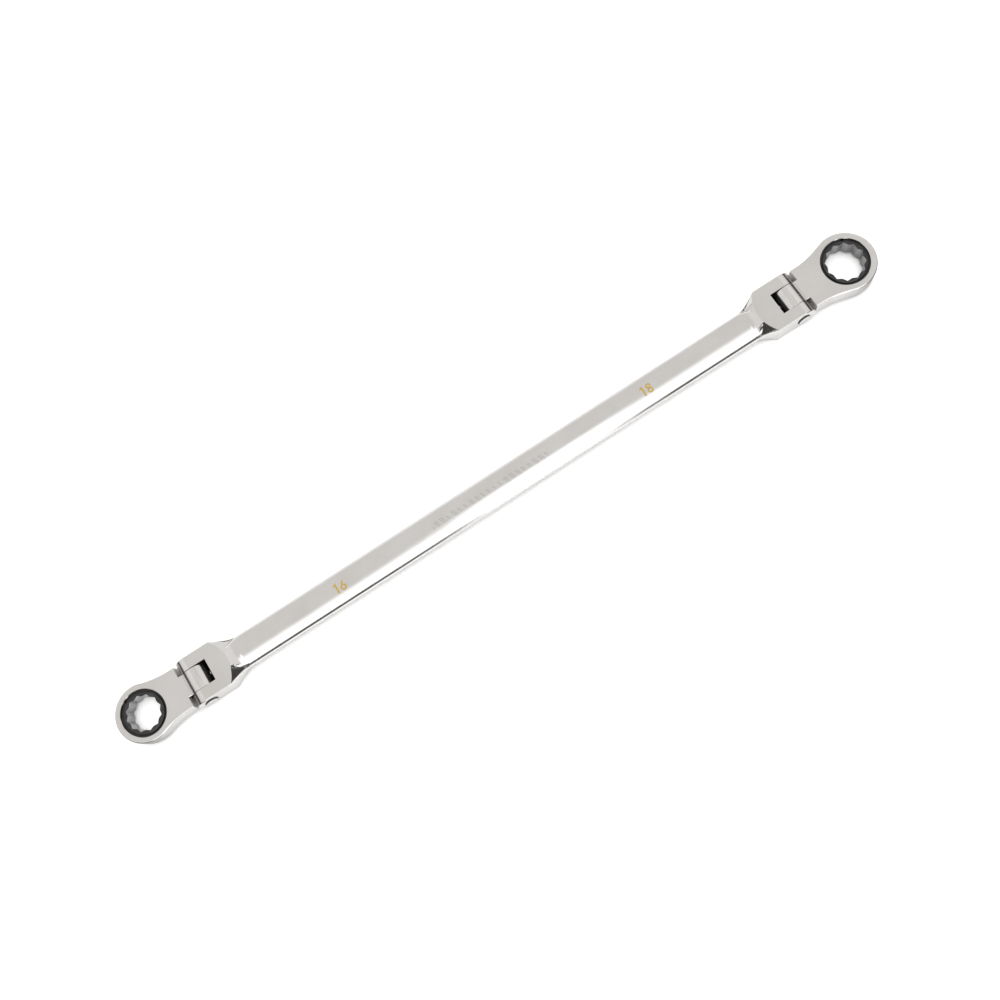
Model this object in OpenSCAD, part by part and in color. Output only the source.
// Double box-end ratchet wrench with two flexing heads.
// X runs along the wrench towards the larger head, Z is up and across the heads,
// and the origin is the centre of the whole wrench. Millimetres.

/* [Wrench] */
// Overall length over both heads
length = 450; // [380:5:520]
// Width of the handle shaft
shaft_w = 17.4; // [17:0.1:18]
// Thickness of the handle shaft
shaft_t = 9.6; // [9.2:0.1:10]
// Width of the two yokes
yoke_w = 25; // [24.2:0.2:25.6]
// Thickness of the two yokes
yoke_t = 14.2; // [14:0.1:14.6]

/* [Heads] */
// Thickness of the two ratchet heads
head_t = 10; // [10:0.1:10.4]
// Nut size of the small head, across flats
af_small = 16; // [15.8:0.1:16.1]
// Nut size of the large head, across flats
af_large = 18; // [17.8:0.1:18.1]
// Radius of the small head
head_r_small = 14.9; // [14.8:0.1:15.4]
// Radius of the large head
head_r_large = 16; // [15.9:0.1:16.5]
// Distance from the small head's hinge pin to its centre
reach_small = 31.15; // [31:0.05:33]
// Distance from the large head's hinge pin to its centre
reach_large = 33.45; // [33:0.05:35]

/* [Flex hinges] */
// Radius of the hinge pins
pin_r = 3; // [2.8:0.05:3.1]
// Width of the slot in each yoke
slot_w = 12; // [11.8:0.1:12.4]
// Side play of each tang in its slot
tang_play = 0.15; // [0.1:0.05:0.25]
// Running clearance round each hinge pin
pin_play = 0.05; // [0.03:0.01:0.08]

/* [Ratchet] */
// Teeth round each ratchet gear
teeth = 72; // [72:12:84]
// Depth of the ratchet teeth
tooth_h = 0.6; // [0.5:0.05:0.65]
// Running clearance round each ratchet gear
gear_play = 0.08; // [0.05:0.01:0.1]
// How far a pawl can back off its gear
pawl_travel = 0.9; // [0.7:0.05:1]
// Turns in each pawl spring
pawl_coils = 6; // [4:1:7]

/* [Hidden] */

// End 0 is the small head at -X, end 1 is the large head at +X.
AF = [af_small, af_large];
HR = [head_r_small, head_r_large];
PD = [reach_small, reach_large];
// Half-width of each neck at its shoulder, and the turn of each 12-point bore
NW = [11.5, 11.8];
STAR = [66, 0];
// Where each yoke's flat face ends at its middle, from the pin
APEX = [18.5, 19.8];
PINX = [length / 2 - HR[0] - PD[0], length / 2 - HR[1] - PD[1]];
// Gear pocket, gear tip, hub and pilot radii
PR = [HR[0] - 3.05, HR[1] - 3.4];
function tip(i) = PR[i] - gear_play;
function root(i) = tip(i) - tooth_h;
function hub(i) = PR[i] - 1.15;
function pilot(i) = PR[i] - 1.25;

ht = head_t / 2;
floor_z = -ht + 1.4;
flange_z = 2.9;
hub_z = ht - 0.3;
groove_lo = 3.05;
groove_hi = 3.95;
shoulder = 7.9;
tang_r = 7;
ear_r = yoke_t / 2;
slot_root = 8.6;
arc_r = 19;
// Where the flare's top, its corner facets and its sides meet the oval shaft
top_end = 26;
facet_end = 23;
side_end = 25;
facet_y = 4.4;
pawl_len = 4.2;
pawl_w = 8.4;
pawl_h = 5;
spring_hole = 4.15;

CHROME = [0.78, 0.77, 0.75];
BLACK = [0.2, 0.2, 0.2];
STEEL = [0.6, 0.6, 0.6];
GOLD = [0.86, 0.66, 0.2];

// Puts one end's parts in place: the pin is at the local origin and the head lies along +X.
module place(i) {
  if (i == 0) translate([-PINX[0], 0, 0]) mirror([1, 0, 0]) children();
  else translate([PINX[1], 0, 0]) children();
}

// ---- Handle: cross-sections as [y, z], the same count of points in each ----
nt = 12;
cr = 0.5;
tw = yoke_w / 2 - cr;
yh = yoke_t / 2;
// The oval shaft is two wide arcs with a small arc at each side
side_r = 2.2;
side_c = shaft_w / 2 - side_r;
sh = shaft_t / 2;
big_d = (side_c * side_c - (sh - side_r) * (sh - side_r)) / (2 * (sh - side_r));
big_r = sh + big_d;
tan_a = atan2(big_d, side_c);
yt = side_c + side_r * cos(tan_a);
// Half of the yoke's section on the +Y side, from the top edge's end to the bottom edge's end
function yoke_side(k) =
  k <= 3 ? [tw + cr * sin(30 * k), yh - cr + cr * cos(30 * k)] :
  k <= 5 ? [tw + cr, (yh - cr) * (1 - 2 * (k - 3) / 3)] :
  [tw + cr * cos(30 * (k - 6)), -(yh - cr) - cr * sin(30 * (k - 6))];
function oval_at(a) = [side_c + side_r * cos(a), side_r * sin(a)];
function oval_side(k) = oval_at((tan_a - 14) * (1 - 2 * k / 9));
function oval_top(y) = sqrt(big_r * big_r - y * y) - big_d;
// The top edge: two points at each end lie on the corner facets, the rest on the flare's top
function top_y(j) = j < 2 ? -tw + (tw - facet_y) * j / 2 : j > nt - 2 ? tw - (tw - facet_y) * (nt - j) / 2 :
  -facet_y + 2 * facet_y * (j - 2) / (nt - 4);
function top_oval(j) = j < 2 ? let (p = oval_at(tan_a - 14 + 7 * j)) [-p[0], p[1]] :
  j > nt - 2 ? oval_at(tan_a - 14 + 7 * (nt - j)) :
  let (y = -yt + 2 * yt * (j - 2) / (nt - 4)) [y, oval_top(y)];
TOP_Y = [for (j = [0:nt]) [top_y(j), yh]];
TOP_O = [for (j = [0:nt]) top_oval(j)];
YOKE = concat(TOP_Y, [for (k = [1:8]) yoke_side(k)], -TOP_Y, [for (k = [1:8]) -yoke_side(k)]);
OVAL = concat(TOP_O, [for (k = [1:8]) oval_side(k)], -TOP_O, [for (k = [1:8]) -oval_side(k)]);
// 0 for a point on the flare's top, 1 on a corner facet, 2 on a side
KIND = let (t = [for (j = [0:nt]) j <= 2 || j >= nt - 2 ? 1 : 0], s = [for (k = [1:8]) 2]) concat(t, s, t, s);
NP = len(YOKE);

function smooth(t) = t * t * (3 - 2 * t);
function edge_s(i, y) = APEX[i] - arc_r + sqrt(arc_r * arc_r - y * y);
// A ring of the flare at blend t, from the yoke's curved edge to the oval shaft
function flare(i, t) = [for (k = [0:NP - 1])
  let (a = YOKE[k], b = OVAL[k], q = KIND[k], e = [top_end, facet_end, side_end][q],
    s = edge_s(i, a[0]) * (1 - t) + e * t,
    fy = [smooth(t), t, 1 - pow(1 - t, 1.6)][q], fz = [sin(90 * t), t, t][q],
    y = a[0] + (b[0] - a[0]) * fy, z = a[1] + (b[1] - a[1]) * fz)
  [(i == 0 ? -1 : 1) * (PINX[i] - s), y, z]];
function yoke_ring(i, s) = [for (k = [0:NP - 1]) [(i == 0 ? -1 : 1) * (PINX[i] - s), YOKE[k][0], YOKE[k][1]]];
FL = 9;
RINGS = concat(
  [yoke_ring(1, 11)],
  [for (n = [0:FL]) flare(1, n / FL)],
  [for (n = [FL:-1:0]) flare(0, n / FL)],
  [yoke_ring(0, 11)]);

// Skins a list of rings into one closed polyhedron with a flat cap at each end.
// A cap is strips between mirrored points, which suits outlines that are the same on both sides.
module skin(rings) {
  m = len(rings[0]);
  n = len(rings);
  h = floor((m - 1) / 2);
  cap = concat(
    [for (k = [0:h - 1]) if (m - 2 - k > k + 1) [k, k + 1, m - 2 - k, m - 1 - k]],
    m % 2 == 1 ? [[h - 1, h, h + 1]] : []);
  polyhedron(
    points = [for (r = rings) for (p = r) p],
    faces = concat(
      cap,
      [for (j = [0:n - 2]) for (k = [0:m - 1]) each [
        [j * m + k, (j + 1) * m + k, j * m + (k + 1) % m],
        [j * m + (k + 1) % m, (j + 1) * m + k, (j + 1) * m + (k + 1) % m]]],
      [for (f = cap) [for (k = [len(f) - 1:-1:0]) (n - 1) * m + f[k]]]),
    convexity = 6);
}

// One yoke: two ears with round ends about the pin
module yoke_block() {
  rotate([90, 0, 90]) translate([0, 0, -12]) linear_extrude(height = 12) polygon(YOKE);
  rotate([90, 0, 0]) rotate_extrude($fn = 96) polygon([
    [0, -yoke_w / 2], [ear_r - 0.5, -yoke_w / 2], [ear_r, -yoke_w / 2 + 0.5],
    [ear_r, yoke_w / 2 - 0.5], [ear_r - 0.5, yoke_w / 2], [0, yoke_w / 2]]);
}

module yoke_cuts() {
  translate([-slot_root, -slot_w / 2, -20]) cube([40, slot_w, 40]);
  rotate([90, 0, 0]) cylinder(r = pin_r, h = 60, center = true, $fn = 64);
  // blind hole for the detent ball and its spring
  translate([-17, 0, 0]) rotate([0, 90, 0]) cylinder(r = 1.65, h = 12, $fn = 48);
}

module handle() {
  color(CHROME) difference() {
    union() {
      skin(RINGS);
      place(0) yoke_block();
      place(1) yoke_block();
    }
    place(0) yoke_cuts();
    place(1) yoke_cuts();
    mark_prism(0, 4.2, 5);
    mark_prism(1, 4.2, 5);
  }
}

// ---- Size numerals: strokes in a 3.4 x 5.4 cell, read across the handle ----
module one() {
  translate([1.35, 0]) square([0.95, 5.4]);
  polygon([[0.35, 3.85], [1.35, 4.25], [1.35, 5.4]]);
}
module loop_ring(r, w) {
  difference() { circle(r = r, $fn = 40); circle(r = r - w, $fn = 40); }
}
module six() {
  translate([1.7, 1.7]) loop_ring(1.7, 0.9);
  polygon([[0.0, 1.7], [0.95, 1.7], [2.9, 5.0], [2.2, 5.4]]);
}
module eight() {
  translate([1.7, 1.55]) loop_ring(1.55, 0.8);
  translate([1.7, 3.95]) loop_ring(1.45, 0.8);
}
MARK_X = [-95, 88];
MARK_TURN = [0, 0];
module mark_prism(i, z0, z1) {
  translate([MARK_X[i], 0, z0]) rotate([0, 0, MARK_TURN[i]]) linear_extrude(height = z1 - z0) {
    translate([-3.4, -2.7]) one();
    translate([0.2, -2.7]) if (i == 0) six(); else eight();
  }
}
module size_mark(i) {
  color(GOLD) intersection() {
    mark_prism(i, 4.2, 5);
    translate([MARK_X[i] - 10, 0, 0]) rotate([90, 0, 90]) linear_extrude(height = 20) polygon(OVAL);
  }
}

// ---- Hinge pin, pressed into both ears, with a low chamfered head at each end ----
module hinge_pin(i) {
  color(STEEL) place(i) rotate([90, 0, 0]) rotate_extrude($fn = 64) polygon([
    [0, -yoke_w / 2 - 0.6], [pin_r + 0.15, -yoke_w / 2 - 0.6], [pin_r + 0.75, -yoke_w / 2],
    [pin_r, -yoke_w / 2], [pin_r, yoke_w / 2], [pin_r + 0.75, yoke_w / 2],
    [pin_r + 0.15, yoke_w / 2 + 0.6], [0, yoke_w / 2 + 0.6]]);
}

// ---- Detent ball and spring, which hold the head at its angle ----
ball_r = 1.55;
ball_x = -(tang_r + ball_r + 0.06);
module detent_ball(i) {
  color(STEEL) place(i) translate([ball_x, 0, 0]) sphere(r = ball_r, $fn = 40);
}

// A coil spring along X from x0 to x1: a round wire swept along a helix
module coil(x0, x1, r, wire, turns) {
  seg = 14;
  n = turns * seg;
  pitch = (x1 - x0 - 2 * wire) / turns;
  rings = [for (j = [0:n])
    let (a = 360 * j / seg, c = [x0 + wire + pitch * j / seg, r * cos(a), r * sin(a)],
      t = [pitch / (2 * PI * r), -sin(a), cos(a)], tl = norm(t), tn = t / tl,
      u = [0, cos(a), sin(a)], v = cross(tn, u))
    [for (k = [0:5]) c + wire * (cos(60 * k) * u + sin(60 * k) * v)]];
  skin(rings);
}
module detent_spring(i) {
  color(STEEL) place(i) coil(-16.9, ball_x - ball_r * 0.92, 1.15, 0.25, 5);
}

// ---- Head: box end, neck and tang in one forging ----
// Upper neck outline: half-width at distance d from the head's centre towards the pin
ND = 5;
function neck_slope(i) = -ND / sqrt(HR[i] * HR[i] - ND * ND);
function neck_y(i, d) = d >= 22 ? NW[i] :
  let (t = (d - ND) / (22 - ND), y0 = sqrt(HR[i] * HR[i] - ND * ND))
  (2 * t * t * t - 3 * t * t + 1) * y0 + (t * t * t - 2 * t * t + t) * (22 - ND) * neck_slope(i) + (3 * t * t - 2 * t * t * t) * NW[i];
NN = 9;
function neck_pts(i, q) = [for (k = [0:NN])
  let (d = (PD[i] - shoulder) * (1 - k / NN) + ND * k / NN, y = neck_y(i, d), m = (neck_y(i, d + 0.01) - neck_y(i, d - 0.01)) / 0.02, l = sqrt(1 + m * m))
  [PD[i] - d - (k == 0 ? 0 : q * m / l), y - q / l]];
disc_n = 56;
function disc_pts(i, q) = let (a0 = acos(-ND / HR[i])) [for (k = [1:disc_n - 1])
  let (a = a0 * (1 - 2 * k / disc_n)) [PD[i] + (HR[i] - q) * cos(a), (HR[i] - q) * sin(a)]];
function outline(i, q) = let (up = neck_pts(i, q)) concat(up, disc_pts(i, q), [for (k = [NN:-1:0]) [up[k][0], -up[k][1]]]);
edge_r = 0.8;
function slab_ring(i, a, s) = [for (p = outline(i, edge_r * (1 - cos(a)))) [p[0], p[1], s * (ht - edge_r + edge_r * sin(a))]];
module head_blank(i) {
  skin([slab_ring(i, 90, 1), slab_ring(i, 60, 1), slab_ring(i, 30, 1), slab_ring(i, 0, 1),
    slab_ring(i, 0, -1), slab_ring(i, 30, -1), slab_ring(i, 60, -1), slab_ring(i, 90, -1)]);
}
module head(i) {
  tw2 = slot_w - 2 * tang_play;
  color(CHROME) place(i) difference() {
    union() {
      head_blank(i);
      rotate([90, 0, 0]) cylinder(r = tang_r, h = tw2, center = true, $fn = 96);
      translate([0, -tw2 / 2, -ht]) cube([shoulder + 1, tw2, head_t]);
    }
    rotate([90, 0, 0]) cylinder(r = pin_r + pin_play, h = 40, center = true, $fn = 64);
    // relief line where the round tang meets the flat of the head, on both faces
    for (t = [-1, 1]) translate([5.4, 0, t * (ht + 0.05)]) rotate([90, 0, 0]) cylinder(r = 0.42, h = tw2 + 0.2, center = true, $fn = 24);
    translate([PD[i], 0, 0]) {
      translate([0, 0, floor_z]) cylinder(r = PR[i], h = 20, $fn = 120);
      translate([0, 0, -20]) cylinder(r = pilot(i) + gear_play, h = 40, $fn = 120);
      translate([0, 0, groove_lo]) cylinder(r = PR[i] + 0.7, h = groove_hi - groove_lo, $fn = 120);
      translate([0, 0, ht - 0.2]) cylinder(r1 = PR[i], r2 = PR[i] + 0.4, h = 0.4, $fn = 120);
      // window and slot for the pawl, and the blind hole for its spring
      translate([-PR[i] - pawl_len - pawl_travel - 0.1, -pawl_w / 2 - 0.08, -pawl_h / 2 - 0.08])
        cube([pawl_len + pawl_travel + 2, pawl_w + 0.16, pawl_h + 0.16]);
      translate([-PR[i] - pawl_len - pawl_travel - spring_hole, 0, 0]) rotate([0, 90, 0]) cylinder(r = 1.7, h = 8, $fn = 48);
    }
  }
}

// ---- Ratchet gear: toothed flange, hub and 12-point bore ----
function tooth_ring(i, g) = [for (k = [0:teeth - 1]) each
  let (a = 360 * k / teeth + 180, p = 360 / teeth) [
    (root(i) + g) * [cos(a - p * 0.5), sin(a - p * 0.5)],
    (tip(i) + g) * [cos(a - p * 0.12), sin(a - p * 0.12)],
    (tip(i) + g) * [cos(a + p * 0.12), sin(a + p * 0.12)]]];
module star(i) {
  for (t = [0, 30]) rotate(STAR[i] + t) circle(r = (AF[i] + 0.08) / 2 / cos(30), $fn = 6);
}
module ratchet_gear(i) {
  ci = (AF[i] + 0.08) / 2 / cos(15);
  color(BLACK) place(i) translate([PD[i], 0, 0]) difference() {
    union() {
      translate([0, 0, floor_z + 0.1]) linear_extrude(height = flange_z - floor_z - 0.1) polygon(tooth_ring(i, 0));
      rotate_extrude($fn = 120) polygon([[2, -ht + 0.2], [pilot(i) - 0.3, -ht + 0.2], [pilot(i), -ht + 0.5], [pilot(i), 0], [hub(i), 0.5], [hub(i), hub_z - 0.35], [hub(i) - 0.35, hub_z], [2, hub_z]]);
    }
    translate([0, 0, -20]) linear_extrude(height = 40) star(i);
    // a small lead-in that breaks only the inner corners of the star
    translate([0, 0, hub_z - 1]) cylinder(r1 = ci - 0.8, r2 = ci + 1.2, h = 2, $fn = 120);
    translate([0, 0, -ht + 0.2 - 1]) cylinder(r1 = ci + 1.2, r2 = ci - 0.8, h = 2, $fn = 120);
  }
}

// ---- Snap ring that keeps the gear in its pocket ----
module snap_ring(i) {
  color(BLACK) place(i) translate([PD[i], 0, 0]) difference() {
    rotate_extrude($fn = 120) translate([hub(i) + 0.25, groove_lo + 0.05]) square([PR[i] + 0.6 - hub(i) - 0.25, 0.8]);
    rotate([0, 0, 62]) translate([0, 0, 0]) linear_extrude(height = 10) polygon([[0, 0], [30, -2.2], [30, 2.2]]);
  }
}

// ---- Pawl: slides away from the gear against its spring ----
module pawl(i) {
  color(STEEL) place(i) translate([PD[i], 0, 0]) difference() {
    translate([-PR[i] - pawl_len, -pawl_w / 2, -pawl_h / 2]) cube([pawl_len + tooth_h + 0.02, pawl_w, pawl_h]);
    translate([0, 0, -10]) linear_extrude(height = 20) polygon(tooth_ring(i, 0.06));
    translate([-PR[i] - pawl_len - 1, 0, 0]) rotate([0, 90, 0]) cylinder(r = 1.7, h = 2.3, $fn = 48);
  }
}
module pawl_spring(i) {
  color(STEEL) place(i) translate([PD[i], 0, 0])
    coil(-PR[i] - pawl_len - pawl_travel - spring_hole + 0.05, -PR[i] - pawl_len + 1.25, 1.3, 0.22, pawl_coils);
}

handle();
size_mark(0);  // size_mark_16
size_mark(1);  // size_mark_18
hinge_pin(0);  // hinge_pin_16
hinge_pin(1);  // hinge_pin_18
detent_ball(0);  // detent_ball_16
detent_ball(1);  // detent_ball_18
detent_spring(0);  // detent_spring_16
detent_spring(1);  // detent_spring_18
head(0);  // head_16
head(1);  // head_18
ratchet_gear(0);  // ratchet_gear_16
ratchet_gear(1);  // ratchet_gear_18
snap_ring(0);  // snap_ring_16
snap_ring(1);  // snap_ring_18
pawl(0);  // pawl_16
pawl(1);  // pawl_18
pawl_spring(0);  // pawl_spring_16
pawl_spring(1);  // pawl_spring_18
